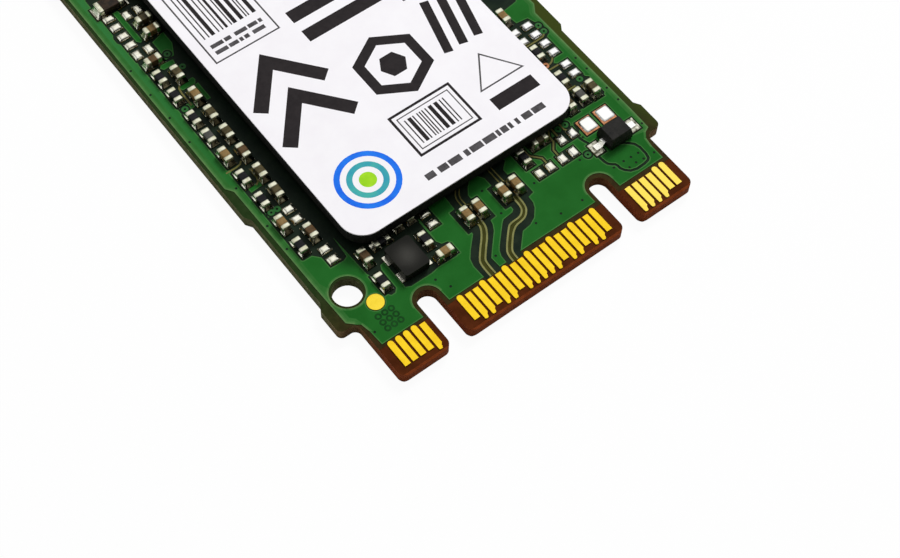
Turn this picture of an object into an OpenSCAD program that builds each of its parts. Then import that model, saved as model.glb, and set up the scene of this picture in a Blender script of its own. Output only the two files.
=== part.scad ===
// Gumstick solid state drive: a bare circuit board with a keyed card edge, chip
// capacitors and resistors along its margins, and a dark heat pad with a white
// label over the controller, the memory and the two flash packages.
// Origin: middle of the card edge, on the underside of the board.
// X runs across the board, Y from the card edge to the hold-down notch, Z up on
// the side that carries the parts.

/* [Board] */
// Width of the board
board_w = 22; // [21.8:0.05:22.2]
// Length of the board, from the card edge to the hold-down end
board_len = 80; // [78:0.5:84]
// Thickness of the laminate
board_t = 0.8; // [0.7:0.05:1]
// Radius of the board's outer corners
corner_r = 0.35; // [0.2:0.05:0.6]
// Depth of the shallow recesses where the panel tabs were cut off
recess_d = 0.25; // [0.1:0.05:0.4]
// Where the recesses start, from the card edge
recess_y0 = 5.7; // [5.4:0.1:6.2]
// Where the recesses end, from the card edge
recess_y1 = 12.8; // [12:0.1:13.5]

/* [Card edge] */
// Width of the tongue that enters the connector
tongue_w = 19.85; // [19.75:0.05:19.95]
// Length of the tongue
tongue_len = 4; // [3.9:0.05:4.2]
// Distance between neighbouring contacts on one face
contact_pitch = 0.5; // [0.49:0.005:0.51]
// Width of a contact
contact_w = 0.35; // [0.25:0.01:0.4]
// Thickness of the plated copper of contacts, pads and rings
copper_t = 0.03; // [0.02:0.01:0.05]
// Inner end of the contacts, from the card edge
contact_y1 = 1.95; // [1.8:0.05:2.1]
// Outer end of the contacts' full width, from the card edge
contact_y0 = 0.45; // [0.4:0.05:0.6]
// Outer end of the narrow plating tails, from the card edge
tail_y0 = 0.16; // [0.15:0.01:0.25]
// Width of a key notch
key_w = 1.2; // [1.1:0.05:1.3]
// Depth of a key notch
key_depth = 3.5; // [3.3:0.05:3.6]
// Radius of the corners at the card edge and at the notch mouths
edge_r = 0.45; // [0.2:0.05:0.5]
// Bevel along the card edge, on both faces
edge_bevel = 0.12; // [0.05:0.01:0.14]

/* [Holes] */
// Radius of the tooling hole beside the card edge
tooling_r = 0.84; // [0.7:0.02:0.9]
// Radius of the plated half-round hold-down notch
notch_r = 1.75; // [1.6:0.05:1.9]
// Outer radius of the plated ring round the hold-down notch
ring_r = 2.9; // [2.6:0.1:3.2]
// Diameter of a round camera mark
mark_d = 0.96; // [0.8:0.02:1.1]

/* [Packages] */
// Height of the packages that carry the heat pad
package_h = 0.55; // [0.55:0.05:0.9]
// Side of the square controller
controller_side = 12; // [11:0.5:12.5]
// Width of a flash package
flash_w = 12; // [11:0.5:13]
// Length of a flash package
flash_len = 18; // [17:0.5:18.5]

/* [Heat pad and label] */
// Width of the heat pad and of its label
pad_w = 15.2; // [14.8:0.1:15.4]
// Near end of the heat pad, from the card edge
pad_y0 = 7.15; // [7:0.05:7.4]
// Distance from the pad's far end to the board's far end
pad_end_gap = 8; // [7:0.5:9]
// Thickness of the heat pad
pad_t = 0.75; // [0.4:0.05:0.8]
// Thickness of the label
label_t = 0.08; // [0.05:0.01:0.15]
// Radius of the corners of pad and label
pad_r = 1.4; // [1:0.1:2]

/* [Chip parts] */
// Length of a chip part
chip_l = 1; // [0.9:0.02:1.04]
// Width of a chip part
chip_w = 0.5; // [0.4:0.02:0.54]
// Height of a chip capacitor
cap_h = 0.5; // [0.4:0.02:0.6]
// Height of a chip resistor
res_h = 0.35; // [0.25:0.01:0.4]
// Length of the metal end of a chip part
end_l = 0.25; // [0.18:0.01:0.3]
// Distance from an outer column of parts to the board's side
outer_in = 1.35; // [1.25:0.05:1.4]
// Distance from an inner column of parts to the board's side
inner_in = 2.28; // [2.2:0.05:2.3]

/* [Hidden] */

$fn = 48;
eps = 0.01;
half_w = board_w / 2;
top_z = board_t;
part_z = top_z + copper_t;
pad_z = top_z + package_h;
pad_len = board_len - pad_end_gap - pad_y0;
outer_x = half_w - outer_in;
inner_x = half_w - inner_in;

// Contacts are numbered across both faces: odd on top, even underneath
MIDDLE_PIN = 38;
TOP_PINS = concat([for (n = [1:2:11]) n], [for (n = [21:2:57]) n], [for (n = [67:2:75]) n]);
BOTTOM_PINS = concat([for (n = [2:2:10]) n], [for (n = [20:2:58]) n], [for (n = [68:2:74]) n]);
ROUND_PINS = [1, 3, 21, 27, 33, 39, 45, 51, 57, 69, 71, 73, 75];
TAIL_FREE_PINS = [1, 3, 21, 27, 33, 45, 51, 57, 69, 71, 73, 75];
function pin_x(n) = (MIDDLE_PIN - n) * contact_pitch / 2;
// Each key notch stands in the middle of four missing contacts a face
KEY_X = [pin_x(62.5), pin_x(15.5)];

// Chip places: [x, y, turn], where turn 0 lies along Y and turn 90 along X.
// Across the board they spread with its width: wide_k is 1 on a board 22 wide
ALONG_Y = 0;
ALONG_X = 90;
wide_k = board_w / 22;
function spread(sites) = [for (s = sites) concat([s[0] * wide_k], [for (i = [1:1:len(s) - 1]) s[i]])];
COUPLING_X = [-1.42, -0.6, 1.07, 1.93];
COUPLING_Y = 5.65;
COUPLING_SITES = spread([for (x = COUPLING_X) [x, COUPLING_Y, ALONG_Y]]);
FRONT_CAP_SITES = spread([[-7.33, 6.83, ALONG_Y], [-3.77, 4.52, ALONG_X], [4.72, 7.08, ALONG_X]]);
FRONT_RES_SITES = spread([[-7.46, 5.14, ALONG_Y], [-6.04, 7.13, ALONG_X], [-4.11, 5.82, ALONG_Y],
    [-4.8, 7.7, ALONG_Y], [-4, 7.7, ALONG_Y], [3.37, 6.76, ALONG_Y]]);
LEFT_INNER_CAP_Y = [9.8, 12.98, 14.55, 16.17, 17.75, 19.33, 20.89, 22.73];
LEFT_OUTER_CAP_Y = [11.12, 16.53];
LEFT_OUTER_RES_Y = [9.47, 13.02, 14.81, 18.17, 19.67, 21.57, 23.1];
LEFT_CAP_SITES = concat(
    [for (y = LEFT_INNER_CAP_Y) [-inner_x, y, ALONG_Y]],
    [for (y = LEFT_OUTER_CAP_Y) [-outer_x, y, ALONG_Y]],
    spread([[-9.34, 24.28, ALONG_X], [-8.22, 26.15, ALONG_X], [-8.16, 27.1, ALONG_X]]));
LEFT_RES_SITES = [for (y = LEFT_OUTER_RES_Y) [-outer_x, y, ALONG_Y]];
RIGHT_CAP_SITES = spread([[7.61, 8.07, ALONG_Y], [9.4, 8.11, ALONG_Y], [8.44, 15, ALONG_Y]]);
RIGHT_RES_SITES = spread([[8.57, 8.15, ALONG_Y], [8.43, 9.65, ALONG_Y], [8.45, 11.87, ALONG_Y]]);
// Beside the flash packages a decoupling capacitor stands at an even step
REAR_STEP = 4.5;
REAR_COUNT = 8;
REAR_IN = 5;
REAR_SITES = [for (side = [-1, 1], i = [0:REAR_COUNT - 1])
    [side * inner_x, board_len / 2 - REAR_IN + i * REAR_STEP, ALONG_Y]];
// One larger capacitor, with its own length, width and height
BULK_SITES = spread([[-9.2, 29.2, ALONG_X]]);
BULK_SIZE = [1.6, 0.85, 0.45];
BULK_END = 0.25;
BULK_LAND = [0.9, 0.7];
BULK_STEP = 1.4;
// Land pairs that carry no part
BARE_SITES = spread([[-9.7, 28.06, ALONG_Y], [-9.7, 26.5, ALONG_Y], [-9.39, 25.3, ALONG_X],
    [-8.35, 28.08, ALONG_X], [-8.78, 11.38, ALONG_Y], [-8.68, 8.2, ALONG_Y], [-3.13, 6.83, ALONG_Y],
    [3.87, 5.5, ALONG_X], [5.5, 5.5, ALONG_X], [6.25, 6.51, ALONG_X],
    [9.37, 10, ALONG_Y], [9.35, 11.85, ALONG_Y], [9.3, 13.42, ALONG_Y], [8.38, 13.42, ALONG_Y]]);

// Lands under a chip part, measured along and across the part
LAND_STEP = 0.8;
LAND_L = 0.5;
LAND_W = 0.6;
BARE_STEP = 0.77;
BARE_L = 0.5;
BARE_W = 0.66;

// Four-terminal clock package
CLOCK_AT = spread([[-5.6, 5.42]])[0];
CLOCK_SIZE = [1.6, 2.05, 0.55];
CLOCK_PAD = [0.35, 0.6];
CLOCK_PAD_AT = [0.82, 0.63];

// Two-lead diode: the moulded body tapers from its middle to its top
DIODE_AT = spread([[8.36, 4.92]])[0];
DIODE_BASE = [1.55, 1.25];
DIODE_TOP = [1.3, 1.05];
DIODE_H = 0.85;
DIODE_GAP = 0.05;
DIODE_SPLIT = 0.35;
DIODE_LAND = [0.62, 0.85];
DIODE_LAND_X = 1.3;
DIODE_LEAD_W = 0.36;
DIODE_LEAD_T = 0.12;

// Two broad lands for a coil that isn't fitted
COIL_LANDS = spread([[7.67, 6.4], [8.9, 6.4]]);
COIL_LAND = [0.94, 1.04];

// Packages under the heat pad: centre distances from the card edge. Behind the
// controller, places and lengths stretch with the board: row_k is 1 at length 80
CONTROLLER_Y = 15.6;
ROW_Y0 = 22;
row_k = (board_len - ROW_Y0) / (80 - ROW_Y0);
function row_y(y) = ROW_Y0 + (y - ROW_Y0) * row_k;
MEMORY_AT = [-2.2, row_y(27.1)];
MEMORY_SIZE = [8, 9 * row_k];
POWER_AT = [4.3, row_y(24.9)];
POWER_SIDE = 3 * row_k;
COIL_AT = [4.3, row_y(28.2)];
COIL_SIZE = [2.5, 2 * row_k];
COIL_STEP = 2.6 * row_k;
FLASH_Y0 = row_y(33);
FLASH_GAP = 1.2 * row_k;
flash_l = flash_len * row_k;
SUBSTRATE_H = 0.22;
MOULD_IN = 0.1;
COIL_R = 0.3;

// Camera marks, one near each end
MARK_IN = 2.2;
MARKS = spread([[-8.42, 4.4], [8.6, board_len - MARK_IN]]);
TOOLING_AT = spread([[-9.26, 5.76]])[0];
RECESS_RAMP = 0.4;
SHOULDER_R = 0.4;
TAIL_CUT = 0.12;
ROUND_FN = 12;

// Plate with four rounded corners, standing on z = 0, centred across X, from y = 0
module rounded_plate(w, l, r, h) {
    linear_extrude(h) {
        translate([-w / 2 + r, 0]) square([w - 2 * r, l]);
        translate([-w / 2, r]) square([w, l - 2 * r]);
        for (x = [-w / 2 + r, w / 2 - r], y = [r, l - r])
            translate([x, y]) circle(r);
    }
}

// Flat shape from x0 to x1 and up to y1, with its two lower corners rounded
module tab(x0, x1, y1, r) {
    translate([x0, r]) square([x1 - x0, y1 - r]);
    translate([x0 + r, 0]) square([x1 - x0 - 2 * r, y1]);
    for (x = [x0 + r, x1 - r]) translate([x, r]) circle(r);
}

// Board seen from above, before holes and notches
module board_blank() {
    key_y = key_depth - key_w / 2;
    tab(-tongue_w / 2, KEY_X[0] - key_w / 2, key_y, edge_r);
    tab(KEY_X[0] + key_w / 2, KEY_X[1] - key_w / 2, key_y, edge_r);
    tab(KEY_X[1] + key_w / 2, tongue_w / 2, key_y, edge_r);
    translate([-tongue_w / 2, key_y]) square([tongue_w, tongue_len - key_y + eps]);
    translate([0, tongue_len]) {
        tab(-half_w, half_w, board_len - tongue_len - corner_r, corner_r);
        translate([-half_w + corner_r, 0]) square([board_w - 2 * corner_r, board_len - tongue_len]);
        for (x = [-half_w + corner_r, half_w - corner_r])
            translate([x, board_len - tongue_len - corner_r]) circle(corner_r);
    }
    for (side = [-1, 1]) shoulder_fillet(side);
}

// Concave corner between the tongue and the wider board
module shoulder_fillet(side) {
    translate([side * tongue_w / 2, tongue_len]) difference() {
        translate([side > 0 ? 0 : -SHOULDER_R, -SHOULDER_R]) square(SHOULDER_R);
        translate([side * SHOULDER_R, -SHOULDER_R]) circle(SHOULDER_R);
    }
}

// Recess left where a panel tab was cut from a long side
module side_recess(side) {
    x_in = side * (half_w - recess_d);
    x_out = side * (half_w + eps);
    x_far = side * (half_w + 1);
    polygon([[x_far, recess_y0], [x_out, recess_y0], [x_in, recess_y0 + RECESS_RAMP],
        [x_in, recess_y1 - RECESS_RAMP], [x_out, recess_y1], [x_far, recess_y1]]);
}

// Bevel cutter along the card edge; at = the height of the face it trims
module edge_bevel_cut(at, up) {
    rotate([90, 0, 90]) linear_extrude(board_w + 2, center = true)
        polygon([[-eps, at + up * eps], [edge_bevel + eps, at + up * eps],
            [-eps, at - up * edge_bevel]]);
}

module circuit_board() {
    color([0.12, 0.42, 0.17]) difference() {
        linear_extrude(board_t) difference() {
            board_blank();
            for (x = KEY_X) translate([x, key_depth - key_w / 2]) circle(key_w / 2);
            translate(TOOLING_AT) circle(tooling_r);
            translate([0, board_len]) circle(notch_r + copper_t);
            for (side = [-1, 1]) side_recess(side);
        }
        edge_bevel_cut(board_t, 1);
        edge_bevel_cut(0, -1);
        translate([0, 0, -eps]) linear_extrude(copper_t + eps) {
            for (n = BOTTOM_PINS) contact_shape(n);
            translate([0, board_len]) circle(ring_r);
        }
    }
}

// One contact from above: a bar that may have a narrow tail and a rounded inner end
module contact_shape(n) {
    rounded = len(search(n, ROUND_PINS)) > 0;
    tail = len(search(n, TAIL_FREE_PINS)) == 0;
    translate([pin_x(n) - contact_w / 2, contact_y0]) square([contact_w, contact_y1 - contact_y0]);
    if (rounded) translate([pin_x(n), contact_y1]) circle(contact_w / 2, $fn = ROUND_FN);
    if (tail) translate([pin_x(n) - contact_w / 2, 0])
        polygon([[0, contact_y0 + eps], [0, tail_y0 + 0.05], [0.05, tail_y0], [contact_w - TAIL_CUT - 0.05, tail_y0],
            [contact_w - TAIL_CUT, tail_y0 + 0.08], [contact_w - TAIL_CUT + 0.02, contact_y0 - 0.1],
            [contact_w, contact_y0 + eps]]);
}

module top_contacts() {
    color([1, 0.8, 0.15]) translate([0, 0, top_z]) linear_extrude(copper_t)
        for (n = TOP_PINS) contact_shape(n);
}

module bottom_contacts() {
    color([1, 0.8, 0.15]) linear_extrude(copper_t)
        for (n = BOTTOM_PINS) contact_shape(n);
}

// Plating on both faces and through the wall of the hold-down notch
module hold_down_ring() {
    wall_r = notch_r + copper_t;
    color([1, 0.8, 0.15]) translate([0, board_len, 0]) rotate([0, 0, 180])
        rotate_extrude(angle = 180) polygon([[notch_r, 0], [ring_r, 0], [ring_r, copper_t],
            [wall_r, copper_t], [wall_r, top_z], [ring_r, top_z], [ring_r, part_z], [notch_r, part_z]]);
}

module camera_marks() {
    color([1, 0.82, 0.15]) for (at = MARKS)
        translate([at[0], at[1], top_z]) cylinder(h = copper_t, d = mark_d);
}

// Two lands of one chip place, step apart along the part
module land_pair(site, step, l, w) {
    translate([site[0], site[1], top_z]) rotate([0, 0, site[2]])
        for (side = [-1, 1]) translate([-w / 2, side * step / 2 - l / 2, 0]) cube([w, l, copper_t]);
}

// Tinned lands that carry chip parts, the clock and the diode
module solder_lands() {
    sites = concat(COUPLING_SITES, FRONT_CAP_SITES, FRONT_RES_SITES, LEFT_CAP_SITES,
        LEFT_RES_SITES, RIGHT_CAP_SITES, RIGHT_RES_SITES, REAR_SITES);
    color([0.9, 0.9, 0.86]) {
        for (site = sites) land_pair(site, LAND_STEP, LAND_L, LAND_W);
        for (site = BULK_SITES) land_pair(site, BULK_STEP, BULK_LAND[1], BULK_LAND[0]);
        for (side = [-1, 1])
            translate([DIODE_AT[0] + side * DIODE_LAND_X, DIODE_AT[1], top_z + copper_t / 2])
                cube([DIODE_LAND[0], DIODE_LAND[1], copper_t], center = true);
    }
}

module bare_lands() {
    color([0.93, 0.93, 0.88])
        for (site = BARE_SITES) land_pair(site, BARE_STEP, BARE_L, BARE_W);
}

module coil_lands() {
    color([0.9, 0.85, 0.78]) for (at = COIL_LANDS)
        translate([at[0], at[1], top_z + copper_t / 2])
            cube([COIL_LAND[0], COIL_LAND[1], copper_t], center = true);
}

// Moulded package on its thin substrate, centred on its place
module package(at, size) {
    translate([at[0], at[1], top_z]) {
        translate([-size[0] / 2, -size[1] / 2, 0]) cube([size[0], size[1], SUBSTRATE_H]);
        translate([-size[0] / 2 + MOULD_IN, -size[1] / 2 + MOULD_IN, SUBSTRATE_H - eps])
            cube([size[0] - 2 * MOULD_IN, size[1] - 2 * MOULD_IN, package_h - SUBSTRATE_H + eps]);
    }
}

module controller() {
    color([0.1, 0.1, 0.11]) package([0, CONTROLLER_Y], [controller_side, controller_side]);
}

module working_memory() {
    color([0.1, 0.1, 0.11]) package(MEMORY_AT, MEMORY_SIZE);
}

// index counts the flash packages from the card edge
module flash(index) {
    step = flash_l + FLASH_GAP;
    color([0.1, 0.1, 0.11])
        package([0, FLASH_Y0 + flash_l / 2 + index * step], [flash_w, flash_l]);
}

module flash_package_1() flash(0);
module flash_package_2() flash(1);

module power_manager() {
    color([0.1, 0.1, 0.11]) package(POWER_AT, [POWER_SIDE, POWER_SIDE]);
}

// Two moulded coils of the supply, side by side along Y
module power_coils() {
    color([0.2, 0.2, 0.2]) for (i = [0, 1])
        translate([COIL_AT[0], COIL_AT[1] - COIL_SIZE[1] / 2 + i * COIL_STEP, top_z])
            rounded_plate(COIL_SIZE[0], COIL_SIZE[1], COIL_R, package_h);
}

module heat_pad() {
    color([0.13, 0.12, 0.14]) translate([0, pad_y0, pad_z])
        rounded_plate(pad_w, pad_len, pad_r, pad_t);
}

module label() {
    color([0.95, 0.95, 0.97]) translate([0, pad_y0, pad_z + pad_t])
        rounded_plate(pad_w, pad_len, pad_r, label_t);
}

module clock_package() {
    color([0.16, 0.16, 0.17]) translate([CLOCK_AT[0], CLOCK_AT[1] - CLOCK_SIZE[1] / 2, part_z])
        rounded_plate(CLOCK_SIZE[0], CLOCK_SIZE[1], 0.15, CLOCK_SIZE[2]);
}

module clock_terminals() {
    color([0.92, 0.92, 0.88])
        for (sx = [-1, 1], sy = [-1, 1])
            translate([CLOCK_AT[0] + sx * CLOCK_PAD_AT[0], CLOCK_AT[1] + sy * CLOCK_PAD_AT[1],
                top_z + copper_t / 2])
                cube([CLOCK_PAD[0], CLOCK_PAD[1], copper_t], center = true);
}

// One half of the diode's moulding, seen along Y and along X, meets in the middle
module diode_body() {
    z1 = DIODE_SPLIT;
    z2 = DIODE_H - DIODE_GAP;
    color([0.11, 0.11, 0.12]) translate([DIODE_AT[0], DIODE_AT[1], part_z + DIODE_GAP])
        intersection() {
            rotate([90, 0, 0]) linear_extrude(DIODE_BASE[1], center = true)
                diode_profile(DIODE_BASE[0] / 2, DIODE_TOP[0] / 2, z1, z2);
            rotate([90, 0, 90]) linear_extrude(DIODE_BASE[0], center = true)
                diode_profile(DIODE_BASE[1] / 2, DIODE_TOP[1] / 2, z1, z2);
        }
}

// Straight up to z1, then drawn in to the narrower top at z2
module diode_profile(base, top, z1, z2) {
    polygon([[-base, 0], [base, 0], [base, z1], [top, z2], [-top, z2], [-base, z1]]);
}

// Bent leads: out of the body, down, and flat on the land
module diode_leads() {
    t = DIODE_LEAD_T;
    x_body = DIODE_BASE[0] / 2;
    x_tip = DIODE_LAND_X + 0.12;
    z_out = DIODE_GAP + DIODE_SPLIT / 2;
    color([0.9, 0.9, 0.87]) translate([DIODE_AT[0], DIODE_AT[1], part_z])
        for (turn = [0, 180]) rotate([0, 0, turn]) rotate([90, 0, 0])
            linear_extrude(DIODE_LEAD_W, center = true)
                polygon([[x_body, z_out], [x_body + t / 2, z_out], [x_body + t, 0], [x_tip, 0],
                    [x_tip, t], [x_body + 2 * t, t], [x_body + 1.5 * t, z_out + t], [x_body, z_out + t]]);
}

// Middle stretch of a chip part, size = [length, width, height], between its metal ends
module chip_body(site, size, end = end_l) {
    translate([site[0], site[1], part_z]) rotate([0, 0, site[2]])
        translate([-size[1] / 2 + eps, -size[0] / 2 + end, eps])
            cube([size[1] - 2 * eps, size[0] - 2 * end, size[2] - 2 * eps]);
}

// Two metal ends of a chip part
module chip_ends(site, size, end = end_l) {
    translate([site[0], site[1], part_z]) rotate([0, 0, site[2]])
        for (y = [-size[0] / 2, size[0] / 2 - end])
            translate([-size[1] / 2, y, 0]) cube([size[1], end, size[2]]);
}

module capacitor_bodies(sites) {
    color([0.45, 0.34, 0.22]) for (site = sites) chip_body(site, [chip_l, chip_w, cap_h]);
}

module resistor_bodies(sites) {
    color([0.13, 0.13, 0.15]) for (site = sites) chip_body(site, [chip_l, chip_w, res_h]);
}

module metal_ends(sites, h) {
    color([0.93, 0.92, 0.85]) for (site = sites) chip_ends(site, [chip_l, chip_w, h]);
}

module coupling_capacitor_bodies() capacitor_bodies(COUPLING_SITES);
module coupling_capacitor_ends() metal_ends(COUPLING_SITES, cap_h);
module front_capacitor_bodies() capacitor_bodies(FRONT_CAP_SITES);
module front_capacitor_ends() metal_ends(FRONT_CAP_SITES, cap_h);
module front_resistor_bodies() resistor_bodies(FRONT_RES_SITES);
module front_resistor_ends() metal_ends(FRONT_RES_SITES, res_h);
module left_capacitor_bodies() {
    capacitor_bodies(LEFT_CAP_SITES);
    color([0.45, 0.34, 0.22]) for (site = BULK_SITES) chip_body(site, BULK_SIZE, BULK_END);
}
module left_capacitor_ends() {
    metal_ends(LEFT_CAP_SITES, cap_h);
    color([0.93, 0.92, 0.85]) for (site = BULK_SITES) chip_ends(site, BULK_SIZE, BULK_END);
}
module left_resistor_bodies() resistor_bodies(LEFT_RES_SITES);
module left_resistor_ends() metal_ends(LEFT_RES_SITES, res_h);
module right_capacitor_bodies() capacitor_bodies(RIGHT_CAP_SITES);
module right_capacitor_ends() metal_ends(RIGHT_CAP_SITES, cap_h);
module right_resistor_bodies() resistor_bodies(RIGHT_RES_SITES);
module right_resistor_ends() metal_ends(RIGHT_RES_SITES, res_h);
module rear_capacitor_bodies() capacitor_bodies(REAR_SITES);
module rear_capacitor_ends() metal_ends(REAR_SITES, cap_h);

circuit_board();
top_contacts();
bottom_contacts();
hold_down_ring();
camera_marks();
solder_lands();
bare_lands();
coil_lands();
controller();
working_memory();
flash_package_1();
flash_package_2();
power_manager();
power_coils();
heat_pad();
label();
clock_package();
clock_terminals();
diode_body();
diode_leads();
coupling_capacitor_bodies();
coupling_capacitor_ends();
front_capacitor_bodies();
front_capacitor_ends();
front_resistor_bodies();
front_resistor_ends();
left_capacitor_bodies();
left_capacitor_ends();
left_resistor_bodies();
left_resistor_ends();
right_capacitor_bodies();
right_capacitor_ends();
right_resistor_bodies();
right_resistor_ends();
rear_capacitor_bodies();
rear_capacitor_ends();
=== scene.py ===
"""Gumstick solid state drive: visual layer over the CAD frame, camera, light and floor."""

import math
import random

import bmesh
import bpy
from mathutils import Matrix, Vector
from mathutils.geometry import delaunay_2d_cdt
from mathutils.kdtree import KDTree


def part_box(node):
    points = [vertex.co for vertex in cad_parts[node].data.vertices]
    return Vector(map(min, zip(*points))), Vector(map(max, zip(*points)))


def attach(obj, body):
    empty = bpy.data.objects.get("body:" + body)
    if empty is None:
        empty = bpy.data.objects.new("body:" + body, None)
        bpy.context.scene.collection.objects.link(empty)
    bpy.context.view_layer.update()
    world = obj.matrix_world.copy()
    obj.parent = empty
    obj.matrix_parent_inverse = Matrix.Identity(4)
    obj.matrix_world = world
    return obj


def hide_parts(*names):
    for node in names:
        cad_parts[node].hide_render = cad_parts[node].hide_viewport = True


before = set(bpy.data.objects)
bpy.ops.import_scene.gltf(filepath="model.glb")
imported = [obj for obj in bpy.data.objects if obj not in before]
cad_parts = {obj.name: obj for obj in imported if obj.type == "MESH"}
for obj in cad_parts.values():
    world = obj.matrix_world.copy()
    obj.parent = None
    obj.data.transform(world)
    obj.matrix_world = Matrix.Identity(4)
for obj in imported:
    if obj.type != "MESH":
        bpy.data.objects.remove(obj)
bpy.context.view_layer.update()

MM = 0.001
BODY = "root"

# Directions towards the softbox, the window and the key light, and strengths
SKY_TOP = (0.42, 0.3, 0.856)
SKY_LEFT = (-0.85, 0.38, 0.36)
SKY_LEVEL = 1.15
KEY_SIDE = (0.6, 0.34, 0.74)
KEY_POWER = 2.0
FLOOR_GLOW = 0.95

# The camera that was fitted to the photo: its place in millimetres, two axes and its lens
CAMERA_AT = (-33.031, -30.859, 78.607)
CAMERA_RIGHT = (0.79274273, -0.60905627, 0.0246867)
CAMERA_AHEAD = (0.31887599, 0.37984983, -0.86835028)
CAMERA_LENS = 68.08

# Length of the board, and heights over its underside, in millimetres
BOARD_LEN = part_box("circuit_board")[1][1] / MM
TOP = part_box("circuit_board")[1][2] / MM
LAND_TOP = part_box("top_contacts")[1][2] / MM
LAMINATE = TOP - 0.028
UNDER_COPPER = 0.004
UNDER_LAMINATE = 0.028

# Chip parts: lap of the tin, inset of the body, spread of the solder and the share it climbs
END_LAP = 0.06
BODY_INSET = 0.018
LAND_SIDE = 0.06
LAND_OUT = 0.17
SOLDER_SHARE = 0.7

# Artwork of the solder mask: edges of the pour and of the bare strip, and circles without copper
POUR_BOTTOM = 2.2
LEFT_KEY = (-6.125, 2.9, 0.84)
RIGHT_KEY = (5.65, 2.9, 0.86)
BARE_TO = 2.02
TOOLING_RIM = (-9.26, 5.76, 0.98)
MARK_RIM = (-8.42, 4.4, 0.52)
HOLD_DOWN_CLEAR = 3.3

# Start of the unseen stretch, greatest distance of one part's lands, cells of the board's sides
REAR_FROM = 32
PAIR_REACH = 0.9
SIDE_CELL = 0.35

# Paler bands along the pour's edge by where it runs, with the reach of each: painted highlight and
# sheen, the line partly the thinner mask over the copper's edge
EDGE_HIGHLIGHT_BANDS = {"side": {"line": 0.08, "glow": 0.17, "haze": 0.34},
         "slot": {"line": 0.05, "glow": 0.12},
         "inner": {"glow": 0.06}}


def arc(cx, cy, r, a0, a1, n=14):
    """Points of an arc, angles in degrees."""
    step = (a1 - a0) / n
    turns = [math.radians(a0 + i * step) for i in range(n + 1)]
    return [(cx + r * math.cos(turn), cy + r * math.sin(turn)) for turn in turns]


def circle(cx, cy, r, n=28):
    """Points of a full circle."""
    return arc(cx, cy, r, 0, 360 * (n - 1) / n, n - 1)


def rect(x0, y0, x1, y1):
    """Corners of a rectangle."""
    return [(x0, y0), (x1, y0), (x1, y1), (x0, y1)]


def strip(points, width):
    """Outline of a band of constant width along a line of points."""
    left, right = [], []
    points = [Vector(point) for point in points]
    steps = [(b - a).normalized() for a, b in zip(points, points[1:])]
    for here, d_in, d_out in zip(points, steps[:1] + steps, steps + steps[-1:]):
        middle = (d_in + d_out).normalized()
        normal = Vector((-middle.y, middle.x))
        reach = width / 2 / max(0.5, normal.dot(Vector((-d_in.y, d_in.x))))
        left.append(tuple(here + normal * reach))
        right.append(tuple(here - normal * reach))
    return left + right[::-1]


def smooth_line(points, rounds=2):
    """The same line with its corners cut round."""
    for _ in range(rounds):
        cut = [points[0]]
        for a, b in zip(points, points[1:]):
            for t in (0.25, 0.75):
                cut.append(tuple(p * (1 - t) + q * t for p, q in zip(a, b)))
        points = cut + [points[-1]]
    return points


def new_piece(name, mesh, materials):
    """An object for a finished mesh, riding the body."""
    piece = bpy.data.objects.new(name, mesh)
    bpy.context.scene.collection.objects.link(piece)
    for material in materials:
        mesh.materials.append(material)
    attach(piece, BODY)
    return piece


def mesh_from(name, points, faces, slots=None):
    """A mesh from points in millimetres and faces, with a material slot for each face."""
    mesh = bpy.data.meshes.new(name)
    mesh.from_pydata([(x * MM, y * MM, z * MM) for x, y, z in points], [], faces)
    if slots:
        mesh.polygons.foreach_set("material_index", slots)
    mesh.update()
    return mesh


def node_mesh(node):
    """A CAD node's mesh in the row frame, as a bmesh in millimetres."""
    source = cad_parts[node]
    work = bmesh.new()
    work.from_mesh(source.data)
    work.transform(Matrix.Scale(1 / MM, 4) @ source.matrix_world)
    bmesh.ops.remove_doubles(work, verts=work.verts, dist=1e-4)
    return work


def solids(node):
    """Lowest and highest corner of each separate solid of a CAD node, in millimetres."""
    work = node_mesh(node)
    left = set(work.verts)
    boxes = []
    while left:
        stack = [left.pop()]
        found = list(stack)
        while stack:
            for edge in stack.pop().link_edges:
                for vert in edge.verts:
                    if vert in left:
                        left.remove(vert)
                        stack.append(vert)
                        found.append(vert)
        low = [min(v.co[i] for v in found) for i in range(3)]
        high = [max(v.co[i] for v in found) for i in range(3)]
        boxes.append((low, high))
    work.free()
    return sorted(boxes)


def flat_loops(node, height, up=1):
    """Closed outlines of a CAD node's flat faces at a height, in millimetres."""
    work = node_mesh(node)
    flat = {f for f in work.faces
            if f.normal.z * up > 0.99 and abs(f.calc_center_median().z - height) < 1e-3}
    follow = {}
    for face in flat:
        for loop in face.loops:
            if not any(other in flat and other is not face for other in loop.edge.link_faces):
                follow[loop.vert] = loop.link_loop_next.vert
    outlines = []
    while follow:
        start, vert = follow.popitem()
        line = [start]
        while vert is not start and vert in follow:
            line.append(vert)
            vert = follow.pop(vert)
        outlines.append([(v.co.x, v.co.y) for v in line])
    work.free()
    return outlines


def area(points):
    """Signed area of an outline."""
    return sum(a[0] * b[1] - b[0] * a[1] for a, b in zip(points, points[1:] + points[:1])) / 2


class FlatMap:
    """Overlapping outlines cut into triangles that know which outlines hold them."""

    def __init__(self):
        self.points = []
        self.lines = []
        self.loops = []
        self.kinds = []

    def add(self, kind, outline):
        if area(outline) < 0:
            outline = outline[::-1]
        first = len(self.points)
        self.points += [Vector(p[:2]) for p in outline]
        self.loops.append(list(range(first, first + len(outline))))
        self.kinds.append(kind)

    def add_line(self, start, end):
        self.lines.append((len(self.points), len(self.points) + 1))
        self.points += [start, end]

    def cut(self):
        """Points, and triangles with the set of kinds round each."""
        done = delaunay_2d_cdt(self.points, self.lines, self.loops, 1, 1e-5, True)
        kinds = [{self.kinds[i] for i in held} for held in done[5]]
        return done[0], list(zip(done[2], kinds))


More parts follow.
